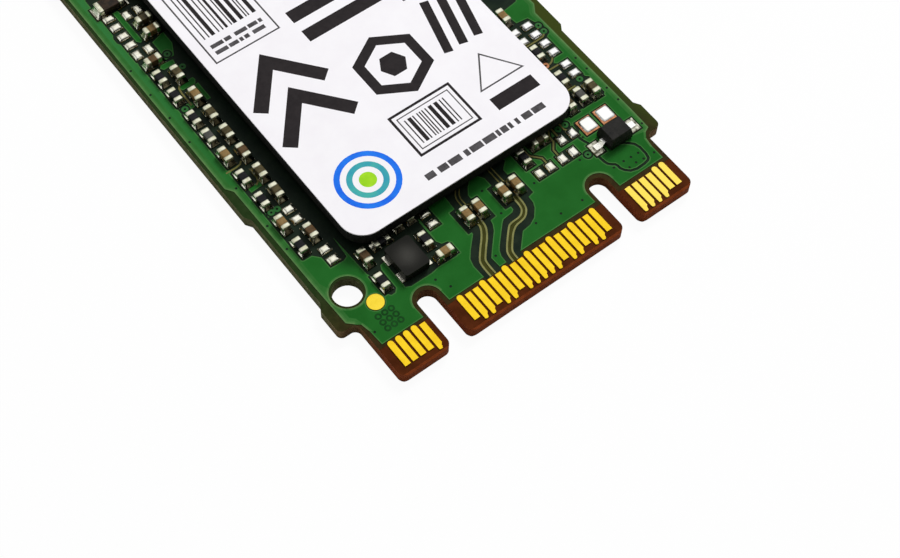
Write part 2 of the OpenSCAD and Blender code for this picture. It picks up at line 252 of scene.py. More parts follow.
def shared_sides(triangles):
    """The class and the ends of each side, as the one or two triangles along it have them."""
    sides = {}
    for corners, kind in triangles:
        for a, b in zip(corners, list(corners[1:]) + [corners[0]]):
            sides.setdefault((min(a, b), max(a, b)), []).append((kind, a, b))
    return sides.values()


def relief(name, flat_map, level_of, levels, flip=False):
    """Sheet of triangles at the level of their class, with walls between levels.

    level_of gives the class of a set of kinds at a place, or None for a gap; levels maps
    a class to its height and finish.
    """
    materials = list(dict.fromkeys(material for _, material in levels.values()))
    points, triangles = flat_map.cut()
    verts, faces, slots, shown = [], [], [], []
    index = {}

    def vert(i, z):
        key = (i, round(z, 5))
        if key not in index:
            index[key] = len(verts)
            verts.append((points[i][0], points[i][1], z))
        return index[key]

    for corners, kinds in triangles:
        kind = level_of(kinds, (points[corners[0]] + points[corners[1]] + points[corners[2]]) / 3)
        if kind is None:
            continue
        shown.append((corners, kind))
        ring = [vert(i, levels[kind][0]) for i in corners]
        faces.append(ring[::-1] if flip else ring)
        slots.append(materials.index(levels[kind][1]))
    for held in shared_sides(shown):
        if len(held) != 2 or levels[held[0][0]][0] == levels[held[1][0]][0]:
            continue
        (kind, a, b), (other, _, _) = held
        z0, z1 = levels[kind][0], levels[other][0]
        faces.append([vert(a, z0), vert(a, z1), vert(b, z1), vert(b, z0)])
        slots.append(materials.index(levels[kind if z0 > z1 else other][1]))
    return new_piece(name, mesh_from(name, verts, faces, slots), materials)


def from_work(work, name, materials, node=None):
    """The piece that a bmesh in millimetres makes, in place of a CAD node where one is given."""
    work.transform(Matrix.Scale(MM, 4))
    mesh = bpy.data.meshes.new(name)
    work.to_mesh(mesh)
    work.free()
    piece = new_piece(name, mesh, materials)
    if node:
        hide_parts(node)


def node_material(name):
    """A new node material, its tree and its shader node."""
    material = bpy.data.materials.new(name)
    material.use_nodes = True
    tree = material.node_tree
    return material, tree, tree.nodes["Principled BSDF"]


def coordinate(tree, kind="Object"):
    """Texture coordinate, by default the place in the row frame in metres."""
    return tree.nodes.new("ShaderNodeTexCoord").outputs[kind]


def feed(tree, value, socket):
    """Links a socket to another, or sets it to a number or a plain colour."""
    if isinstance(value, bpy.types.NodeSocket):
        tree.links.new(value, socket)
    else:
        socket.default_value = (*value, 1) if isinstance(value, tuple) else value


def noise(tree, scale):
    """Noise over the row frame, scale in waves a millimetre."""
    wave = tree.nodes.new("ShaderNodeTexNoise")
    wave.inputs["Scale"].default_value = scale / MM
    wave.inputs["Detail"].default_value = 3.0
    wave.inputs["Roughness"].default_value = 0.6
    tree.links.new(coordinate(tree), wave.inputs["Vector"])
    return wave.outputs["Fac"]


def measured(tree, operation, other, kind="Object"):
    """Dot product or distance of a texture coordinate and a fixed vector."""
    node = tree.nodes.new("ShaderNodeVectorMath")
    node.operation = operation
    node.inputs[1].default_value = other
    tree.links.new(coordinate(tree, kind), node.inputs[0])
    return node.outputs["Value"]


def stretch(tree, value, start, end, interpolation="LINEAR"):
    """Share that rises from 0 to 1 as a length runs from start to end, in millimetres."""
    node = tree.nodes.new("ShaderNodeMapRange")
    node.interpolation_type = interpolation
    node.inputs["From Min"].default_value = start * MM
    node.inputs["From Max"].default_value = end * MM
    tree.links.new(value, node.inputs["Value"])
    return node.outputs["Result"]


def mixed(tree, factor, first, second, blend="MIX"):
    """Mix of two colours, each of them and the factor a socket or a plain value."""
    node = tree.nodes.new("ShaderNodeMix")
    node.data_type = "RGBA"
    node.blend_type = blend
    feed(tree, factor, node.inputs["Factor"])
    feed(tree, first, node.inputs[6])
    feed(tree, second, node.inputs[7])
    return node.outputs[2]


def ramp(tree, factor, stops):
    """Colour that runs through the stops as the factor rises."""
    node = tree.nodes.new("ShaderNodeValToRGB")
    elements = node.color_ramp.elements
    while len(elements) < len(stops):
        elements.new(0.5)
    for element, (position, colour) in zip(elements, stops):
        element.position = position
        element.color = (*colour, 1)
    tree.links.new(factor, node.inputs["Fac"])
    return node.outputs["Color"]


def speckled(tree, factor, low, high):
    """Colour that runs from low to high over the middle of a noise."""
    return ramp(tree, factor, ((0.35, low), (0.65, high)))


def bump(tree, shader, height, distance):
    """Small surface relief under the shader, distance in millimetres."""
    node = tree.nodes.new("ShaderNodeBump")
    node.inputs["Strength"].default_value = 1.0
    node.inputs["Distance"].default_value = distance * MM
    tree.links.new(height, node.inputs["Height"])
    tree.links.new(node.outputs["Normal"], shader.inputs["Normal"])


def drift(tree, colour, to, along, start, end):
    """Colour that drifts to another as a place moves along a direction, in millimetres."""
    share = stretch(tree, measured(tree, "DOT_PRODUCT", along), start, end)
    return mixed(tree, share, colour, to)


def surface(name, paint, rough, metal=0.0, shine=0.5, grain=0.0, grain_scale=8.0):
    """A material whose colour comes from paint, with a gloss and a fine grain."""
    material, tree, shader = node_material(name)
    tree.links.new(paint(tree), shader.inputs["Base Color"])
    shader.inputs["Roughness"].default_value = rough
    shader.inputs["Metallic"].default_value = metal
    shader.inputs["Specular IOR Level"].default_value = shine
    if grain:
        bump(tree, shader, noise(tree, grain_scale), grain)
    return material


def finish(name, low, high, scale, rough, far=None, **more):
    """Plain procedural finish of two near colours.

    far, where given, is a second colour with a direction and the stretch along it where
    the finish drifts there.
    """
    def paint(tree):
        colour = speckled(tree, noise(tree, scale), low, high)
        return drift(tree, colour, *far) if far else colour

    return surface(name, paint, rough, **more)


def graded(name, near_low, near_high, past_low, past_high, start, end, rough, far=None):
    """Finish that changes along Y from start to end, in millimetres, and drifts as in finish."""
    def paint(tree):
        speckle = noise(tree, 2.5)
        near = speckled(tree, speckle, near_low, near_high)
        past = speckled(tree, speckle, past_low, past_high)
        colour = drift(tree, near, past, (0.0, 1.0, 0.0), start, end)
        return drift(tree, colour, *far) if far else colour

    return surface(name, paint, rough, shine=0.06, grain=0.012, grain_scale=6.0)


def painted_highlight_pool(name, edge, core, node, reach, rough):
    """Dark finish with a softer, paler pool in the middle of a CAD node's top: a painted highlight."""
    low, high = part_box(node)
    middle = ((low[0] + high[0]) / 2, (low[1] + high[1]) / 2, high[2])

    def paint(tree):
        share = stretch(tree, measured(tree, "DISTANCE", middle), 0, reach, "SMOOTHSTEP")
        grey = speckled(tree, noise(tree, 0.9), core, [level * 1.25 for level in core])
        return mixed(tree, share, grey, edge)

    return surface(name, paint, rough, shine=0.12, grain=0.012)


# The mask over the pour drifts paler towards the far left: a painted sheen
PAINTED_SHEEN_TOWARDS = (-1.0, 0.05, 0.0)
MASK_POUR = finish(
    "mask_over_copper", (0.0098, 0.097, 0.0115), (0.0135, 0.116, 0.016), 0.5, 0.45, shine=0.05,
    grain=0.004, grain_scale=3.0, far=((0.026, 0.15, 0.034), PAINTED_SHEEN_TOWARDS, 10.8, 11.7))
MASK_DARK = finish(
    "mask_over_laminate", (0.005, 0.012, 0.007), (0.011, 0.02, 0.011), 1.2, 0.45, shine=0.08,
    grain=0.008, grain_scale=7.0)
# Painted sheen, glow and highlight for the bands along the pour's edge; the edge line is partly the
# thinner mask's own paler colour
MASK_PAINTED_SHEEN = finish("mask_painted_sheen", (0.022, 0.118, 0.02), (0.03, 0.136, 0.027), 1.5, 0.45, shine=0.05)
MASK_PAINTED_GLOW = finish("mask_painted_glow", (0.034, 0.135, 0.029), (0.048, 0.16, 0.038), 1.5, 0.45, shine=0.05)
MASK_EDGE_LINE_AND_HIGHLIGHT = finish(
    "mask_at_copper_edge_and_highlight", (0.062, 0.155, 0.044), (0.092, 0.195, 0.06), 1.5, 0.4, shine=0.08)
MASK_PAIR = finish(
    "mask_between_pair", (0.032, 0.034, 0.003), (0.045, 0.045, 0.005), 2.0, 0.4, shine=0.08)
MASK_LEAD = finish("mask_over_pair", (0.17, 0.17, 0.055), (0.23, 0.235, 0.085), 2.0, 0.4, shine=0.1)
MASK_TRACE = finish("mask_over_trace", (0.12, 0.115, 0.03), (0.15, 0.14, 0.045), 2.0, 0.4, shine=0.1)
MASK_VIA = finish("mask_over_via", (0.015, 0.1, 0.02), (0.035, 0.13, 0.035), 2.0, 0.4, shine=0.1)
MASK_DIM = finish(
    "mask_over_drilled_via", (0.006, 0.044, 0.008), (0.009, 0.06, 0.011), 2.0, 0.45, shine=0.05)
LAMINATE_BARE = finish(
    "bare_laminate", (0.052, 0.011, 0.0012), (0.08, 0.0175, 0.003), 1.4, 0.5, shine=0.05, grain=0.006,
    grain_scale=9.0)
# Gold drifts paler past x = 5.2 mm: a painted reflection
GOLD = finish(
    "gold", (0.86, 0.56, 0.008), (0.93, 0.63, 0.014), 2.0, 0.35, metal=0.35, shine=0.2, grain=0.004,
    grain_scale=12.0, far=((0.95, 0.72, 0.1), (1.0, 0.0, 0.0), 5.2, 6.8))
GOLD_MARK = finish("gold_mark", (0.86, 0.62, 0.03), (0.92, 0.68, 0.045), 2.0, 0.35, metal=0.3, shine=0.2)
# Tin drifts to a whiter tone towards +X: a painted reflection
TIN = finish(
    "tin", (0.76, 0.74, 0.6), (0.9, 0.89, 0.78), 4.0, 0.22, metal=1.0, grain=0.012, grain_scale=9.0,
    far=((0.93, 0.93, 0.91), (1.0, 0.0, 0.0), 4.0, 9.0))
TIN_END = finish(
    "tin_end", (0.6, 0.6, 0.42), (0.86, 0.86, 0.7), 4.0, 0.3, metal=1.0, grain=0.01, grain_scale=9.0)
# Solder darkened below tin's own colour: painted shade on the fillets and the bare lands' rims
SOLDER_PAINTED_SHADE = finish("solder_fillet_painted_shade", (0.1, 0.09, 0.06), (0.26, 0.24, 0.18), 4.0, 0.22, metal=1.0)
# Solder rims of a dark ground with bright speckles: painted glints over painted shade
SOLDER_RIM_PAINTED_GLINTS = finish(
    "solder_rim_painted_glints", (0.07, 0.066, 0.04), (0.8, 0.79, 0.66), 3.5, 0.25, metal=1.0, grain=0.03,
    grain_scale=5.0)
COPPER = finish("copper_rim", (0.3, 0.11, 0.04), (0.6, 0.26, 0.12), 5.0, 0.35, metal=0.6)
MOULD = finish(
    "mould", (0.009, 0.009, 0.008), (0.018, 0.017, 0.015), 3.0, 0.5, shine=0.2, grain=0.02,
    grain_scale=14.0)
COIL = finish("coil_mould", (0.03, 0.03, 0.03), (0.06, 0.058, 0.055), 3.0, 0.6, shine=0.3, grain=0.03)
PAD = finish(
    "heat_pad", (0.007, 0.007, 0.0065), (0.013, 0.014, 0.011), 5.0, 0.7, shine=0.15, grain=0.03,
    grain_scale=6.0)
PRINT = {
    tone: finish("label_" + tone, low, high, scale, rough, shine=shine)
    for tone, low, high, scale, rough, shine in (
        ("paper", (0.83, 0.81, 0.84), (0.855, 0.84, 0.865), 0.6, 0.5, 0.1),
        ("ink", (0.016, 0.013, 0.014), (0.022, 0.018, 0.019), 3.0, 0.5, 0.12),
        ("ink_thin", (0.05, 0.046, 0.048), (0.09, 0.085, 0.09), 3.0, 0.5, 0.12),
        ("blue", (0.008, 0.12, 0.72), (0.015, 0.19, 0.8), 1.0, 0.45, 0.12),
        ("teal", (0.03, 0.3, 0.42), (0.06, 0.4, 0.36), 1.0, 0.45, 0.12),
        ("lime", (0.24, 0.56, 0.01), (0.36, 0.68, 0.02), 1.0, 0.45, 0.12))}
CERAMICS = [
    finish("ceramic_" + tone, low, high, scale, 0.5, shine=shine, grain=0.01)
    for tone, low, high, scale, shine in (
        ("tan", (0.175, 0.103, 0.03), (0.245, 0.158, 0.06), 4.0, 0.25),
        ("brown", (0.065, 0.036, 0.012), (0.11, 0.062, 0.024), 4.0, 0.25),
        ("olive", (0.045, 0.035, 0.012), (0.085, 0.068, 0.027), 4.0, 0.25),
        ("dark", (0.014, 0.01, 0.007), (0.04, 0.024, 0.014), 3.0, 0.2))]
RESISTORS = [
    finish("resistor_" + tone, low, high, 4.0, 0.45, shine=shine, grain=0.01)
    for tone, low, high, shine in (
        ("black", (0.005, 0.005, 0.006), (0.011, 0.011, 0.013), 0.15),
        ("grey", (0.05, 0.05, 0.045), (0.08, 0.08, 0.07), 0.2))]
# Clock lid: dark edge with a painted highlight in its middle
CLOCK = painted_highlight_pool("clock_lid_painted_highlight", (0.01, 0.01, 0.008), (0.035, 0.034, 0.03), "clock_package", 1.0, 0.5)
SIDE = graded(
    "board_side", (0.165, 0.035, 0.008), (0.225, 0.05, 0.013), (0.085, 0.085, 0.035),
    (0.15, 0.155, 0.075), 1.6, 5.5, 0.75)
MASK_MARGIN = graded(
    "mask_at_margin", (0.026, 0.016, 0.004), (0.038, 0.024, 0.006), (0.012, 0.029, 0.005),
    (0.017, 0.036, 0.008), 3.0, 7.0, 0.5, ((0.036, 0.05, 0.006), (1.0, 0.2, 0.0), 11.3, 12.3))


def copper_outline():
    """Outer edge of the copper pour under the mask."""
    far = BOARD_LEN - 0.4
    line = [(-9.62, POUR_BOTTOM), (-6.94, POUR_BOTTOM)]
    line += arc(*LEFT_KEY, 180, 0)
    line += [(-5.25, POUR_BOTTOM), (-1.42, POUR_BOTTOM), (-0.4, 2.29), (4.79, 2.28)]
    line += arc(*RIGHT_KEY, 180, 0)
    line += [(6.53, 2.28), (9.65, 2.28), (9.65, 3.2), (9.74, 3.8), (9.98, 4.12), (10.33, 4.3),
             (10.36, 6.0), (10.32, 14.3), (10.68, 14.85), (10.72, far), (-10.82, far),
             (-10.82, 14.9), (-10.51, 14.45), (-10.46, 7.0), (-10.4, 4.32), (-10.06, 3.98),
             (-9.8, 3.76), (-9.68, 3.2)]
    return line


# Areas without copper: the channels of the two contact pairs, and three groups of parts; the left zone
# also reaches under the heat pad's edge as dark mask where the pad's shadow falls, a painted shade
CHANNEL_A = [
    (-2.94, 2.0), (-2.97, 3.05), (-2.85, 3.5), (-2.44, 3.97), (-1.79, 4.62), (-1.77, 4.76),
    (-2.0, 4.76), (-2.0, 6.44), (-1.62, 6.47), (-1.58, 7.0), (-1.5, 9.0), (0.3, 9.0), (0.3, 7.6),
    (-0.2, 7.15), (-0.5, 6.74), (-0.5, 6.46), (-0.1, 6.44), (-0.1, 4.8), (-0.5, 4.76), (-0.56, 4.5),
    (-0.76, 4.14), (-1.74, 3.09), (-1.92, 2.88), (-1.88, 2.0)]
CHANNEL_B = [
    (-1.44, 2.0), (-1.41, 2.65), (-1.28, 2.97), (-1.1, 3.2), (-0.12, 4.2), (0.1, 4.38), (0.74, 4.44),
    (0.92, 4.56), (0.93, 4.79), (0.56, 4.8), (0.56, 6.44), (0.91, 6.47), (0.91, 7.05), (0.7, 7.4),
    (0.7, 9.0), (2.6, 9.0), (2.5, 7.3), (2.06, 6.9), (2.06, 6.5), (2.47, 6.44), (2.47, 4.78),
    (2.09, 4.7), (2.05, 4.26), (1.9, 3.95), (1.48, 3.48), (1.03, 3.27), (0.48, 3.2), (-0.4, 2.3),
    (-0.4, 2.0)]
CLOCK_ZONE = [
    (-6.62, 6.1), (-6.62, 4.2), (-6.35, 4.06), (-5.0, 4.05), (-4.5, 4.13), (-3.3, 4.1), (-3.06, 4.32),
    (-3.02, 4.9), (-3.15, 5.08), (-3.5, 5.16), (-3.66, 5.45), (-3.66, 7.0), (-3.5, 7.2), (-2.75, 7.25),
    (-2.7, 9.0), (-7.9, 9.0), (-7.84, 7.5), (-7.78, 6.03), (-7.7, 5.85), (-7.7, 4.5), (-7.5, 4.25),
    (-7.25, 4.25), (-7.05, 4.45), (-7.02, 5.8), (-6.9, 6.05)]
# Past x = -8.0 this zone is dark mask where the heat pad's shadow falls: painted shade
LEFT_ZONE_AND_PAD_SHADE = [
    (-10.06, 8.74), (-9.98, 8.69), (-9.46, 8.68), (-9.12, 8.3), (-9.06, 7.56), (-8.92, 7.46),
    (-8.27, 7.44), (-8.0, 7.56), (-7.9, 8.9), (-6.9, 8.9), (-6.9, 31.2), (-9.3, 31.2), (-10.08, 30.4),
    (-10.09, 27.4), (-10.24, 27.1), (-10.24, 26.7), (-10.06, 26.4), (-10.06, 20.9), (-9.98, 20.8),
    (-9.98, 20.42), (-10.06, 20.3), (-10.06, 15.82), (-9.9, 15.75), (-9.9, 15.62), (-10.06, 15.55)]
RIGHT_ZONE = [
    (7.0, 7.46), (9.74, 7.46), (9.92, 7.6), (9.92, 8.95), (9.74, 9.1), (9.74, 10.7), (9.02, 10.72),
    (8.88, 10.86), (9.18, 11.2), (9.74, 11.22), (9.74, 12.55), (10.1, 12.72), (10.12, 13.62),
    (9.86, 13.78), (9.7, 14.25), (8.95, 14.35), (8.84, 15.2), (8.95, 15.5), (9.9, 15.62), (10.3, 15.95),
    (10.3, 18.0), (9.9, 18.6), (7.7, 18.6), (7.7, 9.2), (7.0, 8.6)]

# Traces under the mask: the contact pairs, their far ends, gaps in the pour, thin and free ones
PAIR_A = [
    [(-2.62, 1.9), (-2.62, 2.85), (-2.45, 3.25), (-1.2, 4.55), (-1.16, 5.2)],
    [(-2.3, 1.9), (-2.3, 2.85), (-2.14, 3.14), (-0.96, 4.38), (-0.88, 5.2)]]
PAIR_B = [
    [(-1.1, 1.9), (-1.08, 2.5), (-0.92, 2.84), (0.02, 3.84), (0.26, 3.97), (0.86, 3.98),
     (1.15, 4.12), (1.36, 4.42), (1.37, 5.2)],
    [(-0.8, 1.9), (-0.8, 2.42), (-0.66, 2.72), (0.24, 3.68), (0.97, 3.74), (1.3, 3.92),
     (1.6, 4.3), (1.65, 5.2)]]
PAIR_TOPS = [
    [(-1.18, 6.3), (-1.18, 6.97), (-0.85, 7.4)],
    [(-0.96, 6.3), (-0.96, 6.93), (-0.62, 7.35)],
    [(1.38, 6.3), (1.38, 7.6)],
    [(1.62, 6.3), (1.6, 7.6)]]
GAP_LINES = [
    [(6.83, 4.5), (6.87, 3.85), (7.09, 3.6), (7.29, 3.46), (7.29, 3.03), (7.76, 2.56), (8.79, 2.58),
     (9.06, 2.8), (9.07, 3.79), (8.68, 4.2), (8.4, 4.4)],
    [(6.95, 5.4), (6.79, 5.85), (6.76, 6.15), (7.07, 6.5), (7.12, 6.9)]]
THIN_TRACES = [
    [(4.26, 5.7), (4.26, 6.22), (3.78, 6.74), (3.75, 7.5)],
    [(5.08, 5.7), (5.1, 6.26), (5.46, 6.7), (5.47, 7.08), (5.75, 7.5)],
    [(5.88, 6.7), (5.88, 7.5)],
    [(6.62, 6.7), (6.45, 6.98), (6.45, 7.5)]]
FREE_TRACES = [
    [(-9.2, 20.6), (-9.2, 21.9), (-8.98, 22.2)],
    [(-10.2, 15.69), (-9.3, 15.69), (-9.1, 15.9)],
    [(8.4, 10.98), (8.66, 10.93), (8.92, 11.04), (9.15, 11.3)],
    [(9.87, 13.47), (9.7, 13.3)],
    [(9.87, 12.97), (9.72, 12.77), (9.52, 12.67), (8.0, 12.67)],
    [(8.05, 10.78), (8.3, 10.63), (9.02, 10.62)],
    [(8.0, 8.92), (8.87, 8.9)],
    [(-9.3, 14.1), (-9.0, 14.3), (-9.0, 15.2)]]

# Patches of copper inside the areas without it, and the places of vias
ISLANDS = [
    [(-9.3, 28.7), (-9.3, 26.15), (-9.12, 25.95), (-8.96, 26.05), (-8.96, 28.7)],
    [(-8.6, 25.6), (-8.6, 24.9), (-8.65, 24.1), (-8.1, 24.1), (-7.9, 24.5), (-7.7, 24.9), (-7.7, 25.9),
     (-8.1, 25.75)],
    [(-9.25, 23.75), (-9.1, 23.55), (-8.35, 23.6), (-8.3, 23.9), (-9.1, 23.95)],
    [(-9.15, 22.1), (-9.05, 21.75), (-8.2, 21.75), (-8.05, 22.0), (-8.1, 22.2), (-9.0, 22.2)],
    rect(-8.3, 20.4, -8.05, 21.7),
    rect(-9.9, 20.4, -9.1, 20.82),
    rect(-9.95, 12.0, -9.1, 12.36),
    [(-9.8, 13.85), (-9.05, 13.9), (-9.05, 14.2), (-9.8, 14.2)],
    rect(9.2, 8.95, 9.5, 9.28)]
OPEN_VIAS = [
    (-9.65, 20.6), (-8.37, 24.4), (-8.15, 23.16), (9.87, 13.47), (9.87, 12.97), (6.44, 4.89),
    (6.18, 7.18), (6.68, 7.18), (9.36, 9.12), (-9.65, 12.18), (-9.27, 12.18)]
COPPER_VIA = (8.4, 10.98)
TENTED_VIAS = [
    (0.24, 4.76), (0.29, 6.5), (2.88, 5.2), (1.35, 3.15), (2.82, 2.82), (4.29, 2.79), (-1.65, 2.85),
    (10.2, 7.74), (10.2, 6.74), (10.2, 4.7), (5.85, 4.88), (6.94, 5.94), (7.03, 3.38), (7.74, 3.38),
    (8.24, 3.35), (8.74, 3.32), (7.74, 2.88), (8.24, 2.91), (8.74, 2.85), (9.47, 2.82), (10.15, 9.45),
    (10.12, 10.4), (-10.3, 11.6), (-10.3, 14.57), (-10.66, 18.6), (-10.65, 20.6), (-10.66, 22.55),
    (-10.66, 24.6), (-9.5, 3.0), (-4.7, 2.8), (-5.1, 3.6), (-10.28, 9.8)]
CLUSTER = [(-8.4 + 0.42 * i, 3.2 + 0.42 * j) for i in (-1, 0, 1) for j in (-1, 0, 1)]

# Kind, width and rounds of smoothing of each group of lines, and circles of each group of vias
LINES = [
    ("gap", GAP_LINES, 0.15, 1), ("gap", THIN_TRACES, 0.27, 0), ("trace", THIN_TRACES, 0.1, 0),
    ("trace", FREE_TRACES, 0.1, 1), ("lead", PAIR_A + PAIR_B, 0.1, 2), ("trace", PAIR_TOPS, 0.07, 2)]
VIAS = [
    (OPEN_VIAS, [("moat", 0.3, 20), ("ring", 0.2, 20), ("pit", 0.07, 12)]),
    ([COPPER_VIA], [("copper", 0.2, 24), ("pit", 0.07, 12)]),
    (TENTED_VIAS, [("dot", 0.075, 10)]),
    (CLUSTER, [("dim", 0.2, 16), ("core", 0.09, 12)])]


def centre(low, high):
    """Middle of a box."""
    return Vector([(a + b) / 2 for a, b in zip(low, high)])


def chips(prefix):
    """Places of the chip parts of one pair of nodes: centre, direction, and sizes."""
    ends = [(centre(low, high), low, high) for low, high in solids(prefix + "_ends")]
    places = []
    for low, high in solids(prefix + "_bodies"):
        middle = centre(low, high)
        near = sorted(ends, key=lambda end: (end[0] - middle).length)[:2]
        axis = 0 if abs(near[0][0].x - middle.x) > abs(near[0][0].y - middle.y) else 1
        low_end = [min(end[1][i] for end in near) for i in range(3)]
        size = [max(end[2][i] for end in near) - low_end[i] for i in range(3)]
        places.append({
            "x": middle.x, "y": middle.y, "z": low_end[2], "turn": 0 if axis else 90,
            "length": size[axis], "width": size[1 - axis], "height": size[2],
            "end": near[0][2][axis] - near[0][1][axis]})
    return places


def land_pairs(node):
    """Boxes round the lands of one part, two by two, and the odd ones alone."""
    left = solids(node)
    pairs = []
    while left:
        low, high = left.pop(0)
        best = None
        for other in left:
            step = (centre(*other) - centre(low, high)).xy
            if step.length < PAIR_REACH and min(abs(step.x), abs(step.y)) < 0.02:
                if best is None or step.length < best[0]:
                    best = (step.length, other)
        if best:
            left.remove(best[1])
            low = [min(a, b) for a, b in zip(low, best[1][0])]
            high = [max(a, b) for a, b in zip(high, best[1][1])]
        pairs.append((low, high))
    return pairs


def board_map(up):
    """Flat map of one face of the board: its outline, holes, pour and bare strip."""
    plan = FlatMap()
    outlines = flat_loops("circuit_board", TOP if up > 0 else 0.0, up)
    outlines.sort(key=lambda outline: -abs(area(outline)))
    plan.add("board", outlines[0])
    for outline in outlines[1:]:
        if abs(area(outline)) > 1.0:
            plan.add("hole", outline)
    plan.add("pour", copper_outline())
    plan.add("rim", circle(*TOOLING_RIM))
    plan.add("clear", circle(0, BOARD_LEN, HOLD_DOWN_CLEAR, 48))
    plan.add("bare", rect(-12, -1, 12, BARE_TO))
    return plan


def top_map():
    """Flat map of the artwork on the top of the board."""
    plan = board_map(1)
    for zone in (CHANNEL_A, CHANNEL_B, CLOCK_ZONE, LEFT_ZONE_AND_PAD_SHADE, RIGHT_ZONE):
        plan.add("clear", zone)
    for node in ("bare_lands", "coil_lands", "solder_lands"):
        for low, high in land_pairs(node):
            by = 0.09 if low[1] < REAR_FROM else 0.2
            plan.add("clear", rect(low[0] - by, low[1] - by, high[0] + by, high[1] + by))
    for kind, lines, width, rounds in LINES:
        for line in lines:
            plan.add(kind, strip(smooth_line(line, rounds), width))
    for pair in (PAIR_A, PAIR_B):
        plan.add("pair", smooth_line(pair[0]) + smooth_line(pair[1])[::-1])
    for island in ISLANDS:
        plan.add("island", island)
    for places, circles in VIAS:
        for x, y in places:
            for kind, radius, sides in circles:
                plan.add(kind, circle(x, y, radius, sides))
    plan.add("clear", circle(*MARK_RIM))
    for node in ("top_contacts", "bare_lands", "coil_lands", "solder_lands", "camera_marks",
                 "clock_terminals", "hold_down_ring"):
        for outline in flat_loops(node, LAND_TOP):
            if area(outline) > 0:
                plan.add("land", outline)
    return plan


# Height and finish of each class of place on the two faces of the board
TOP_LEVELS = {
    "pour": (TOP, MASK_POUR), "dark": (LAMINATE, MASK_DARK), "margin": (LAMINATE, MASK_MARGIN),
    "bare": (LAMINATE - 0.006, LAMINATE_BARE), "trace": (TOP, MASK_TRACE),
    "pair": (LAMINATE, MASK_PAIR), "ring": (TOP, MASK_VIA), "land": (TOP, GOLD),
    "copper": (TOP, COPPER), "pit": (LAMINATE - 0.03, MASK_DARK), "dot": (TOP - 0.012, MASK_DARK),
    # line, glow and haze: painted highlight bands along the pour's edge
    "dim": (TOP - 0.006, MASK_DIM), "line": (TOP, MASK_EDGE_LINE_AND_HIGHLIGHT), "glow": (TOP, MASK_PAINTED_GLOW),
    "haze": (TOP, MASK_PAINTED_SHEEN), "lead": (TOP, MASK_LEAD)}
UNDER_LEVELS = {
    "pour": (UNDER_COPPER, MASK_POUR), "dark": (UNDER_LAMINATE, MASK_DARK),
    "margin": (UNDER_LAMINATE, MASK_MARGIN), "bare": (UNDER_LAMINATE + 0.004, LAMINATE_BARE),
    "land": (UNDER_LAMINATE, GOLD), "dot": (UNDER_COPPER + 0.01, MASK_DARK)}
SOLID_KINDS = {"pour", "dim", "dot"}

# What each kind of outline shows, the uppermost first, and what lies over the pour
SHOWN = {"land": "land", "bare": "bare", "pit": "pit", "copper": "copper", "ring": "ring",
         "trace": "trace", "lead": "lead", "pair": "pair", "moat": "dark", "gap": "dark",
         "island": "pour", "clear": "dark"}
OVER_POUR = {"dot": "dot", "core": "pour", "dim": "dim"}


def first_shown(kinds, shown, otherwise):
    """What the uppermost kind at a place shows."""
    return next((shown[kind] for kind in shown if kind in kinds), otherwise)


def board_class(kinds, _middle=None):
    """What shows at a place on either face of the board."""
    if "board" not in kinds or "hole" in kinds:
        return None
    pour = "pour" in kinds and "rim" not in kinds
    return first_shown(kinds, SHOWN, first_shown(kinds, OVER_POUR, "pour") if pour else "margin")


def edge_group(classes, start, end):
    """Whether a stretch of the pour's edge is on a long side, at a slot or inside the artwork."""
    if "margin" not in classes or min(start.y, end.y) < POUR_BOTTOM + 0.1:
        return "inner"
    return "side" if min(abs(start.x), abs(end.x)) > 9.9 else "slot"


def pour_edges(plan):
    """Stretches of the pour's edge by group, with their outward direction."""
    points, triangles = plan.cut()
    edges = {group: [] for group in EDGE_HIGHLIGHT_BANDS}
    for held in shared_sides([(corners, board_class(kinds)) for corners, kinds in triangles]):
        classes = [h[0] for h in held]
        solid = [c in SOLID_KINDS for c in classes]
        if len(held) != 2 or solid[0] == solid[1] or not {"dark", "margin", "bare"} & set(classes):
            continue
        _, a, b = held[solid.index(True)]
        start, end = Vector(points[a]), Vector(points[b])
        if (end - start).length > 0.004:
            along = (end - start).normalized()
            group = edge_group(classes, start, end)
            edges[group].append((start, end, Vector((along.y, -along.x))))
    return edges


def near_edges(edges):
    """Finder of the distance from a place to the nearest edge of the pour."""
    spots = []
    for start, end, _ in edges:
        count = max(1, round((end - start).length / 0.03))
        spots += [start.lerp(end, i / count) for i in range(count + 1)]
    tree = KDTree(len(spots))
    for i, spot in enumerate(spots):
        tree.insert((spot.x, spot.y, 0), i)
    tree.balance()
    return lambda place: tree.find((place.x, place.y, 0))[2]


def board_top():
    """The board's top face, paler near each copper edge: partly where the mask climbs it, partly painted
    highlight.
    """
    plan = top_map()
    finders = {}
    for group, edges in pour_edges(plan).items():
        finders[group] = near_edges(edges)
        for start, end, out in edges:
            along = (end - start).normalized() * 0.01
            for reach in EDGE_HIGHLIGHT_BANDS[group].values():
                plan.add_line(start - along - out * reach, end + along - out * reach)

    def shade(kinds, middle):
        kind = board_class(kinds)
        if kind != "pour":
            return kind
        for group, bands in EDGE_HIGHLIGHT_BANDS.items():
            away = finders[group](middle)
            for band, reach in bands.items():
                if away < reach:
                    return band
        return kind

    piece = relief("board_top", plan, shade, TOP_LEVELS)
    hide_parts("circuit_board")


def board_under():
    """The board's underside: mask over one plain pour."""
    plan = board_map(-1)
    for x in range(-9, 10, 3):
        for y in range(8, 76, 4):
            plan.add("dot", circle(x + 0.4 * (y % 3), y, 0.09, 10))
    for outline in flat_loops("bottom_contacts", 0.0, -1):
        plan.add("land", outline)
    piece = relief("board_under", plan, board_class, UNDER_LEVELS, flip=True)


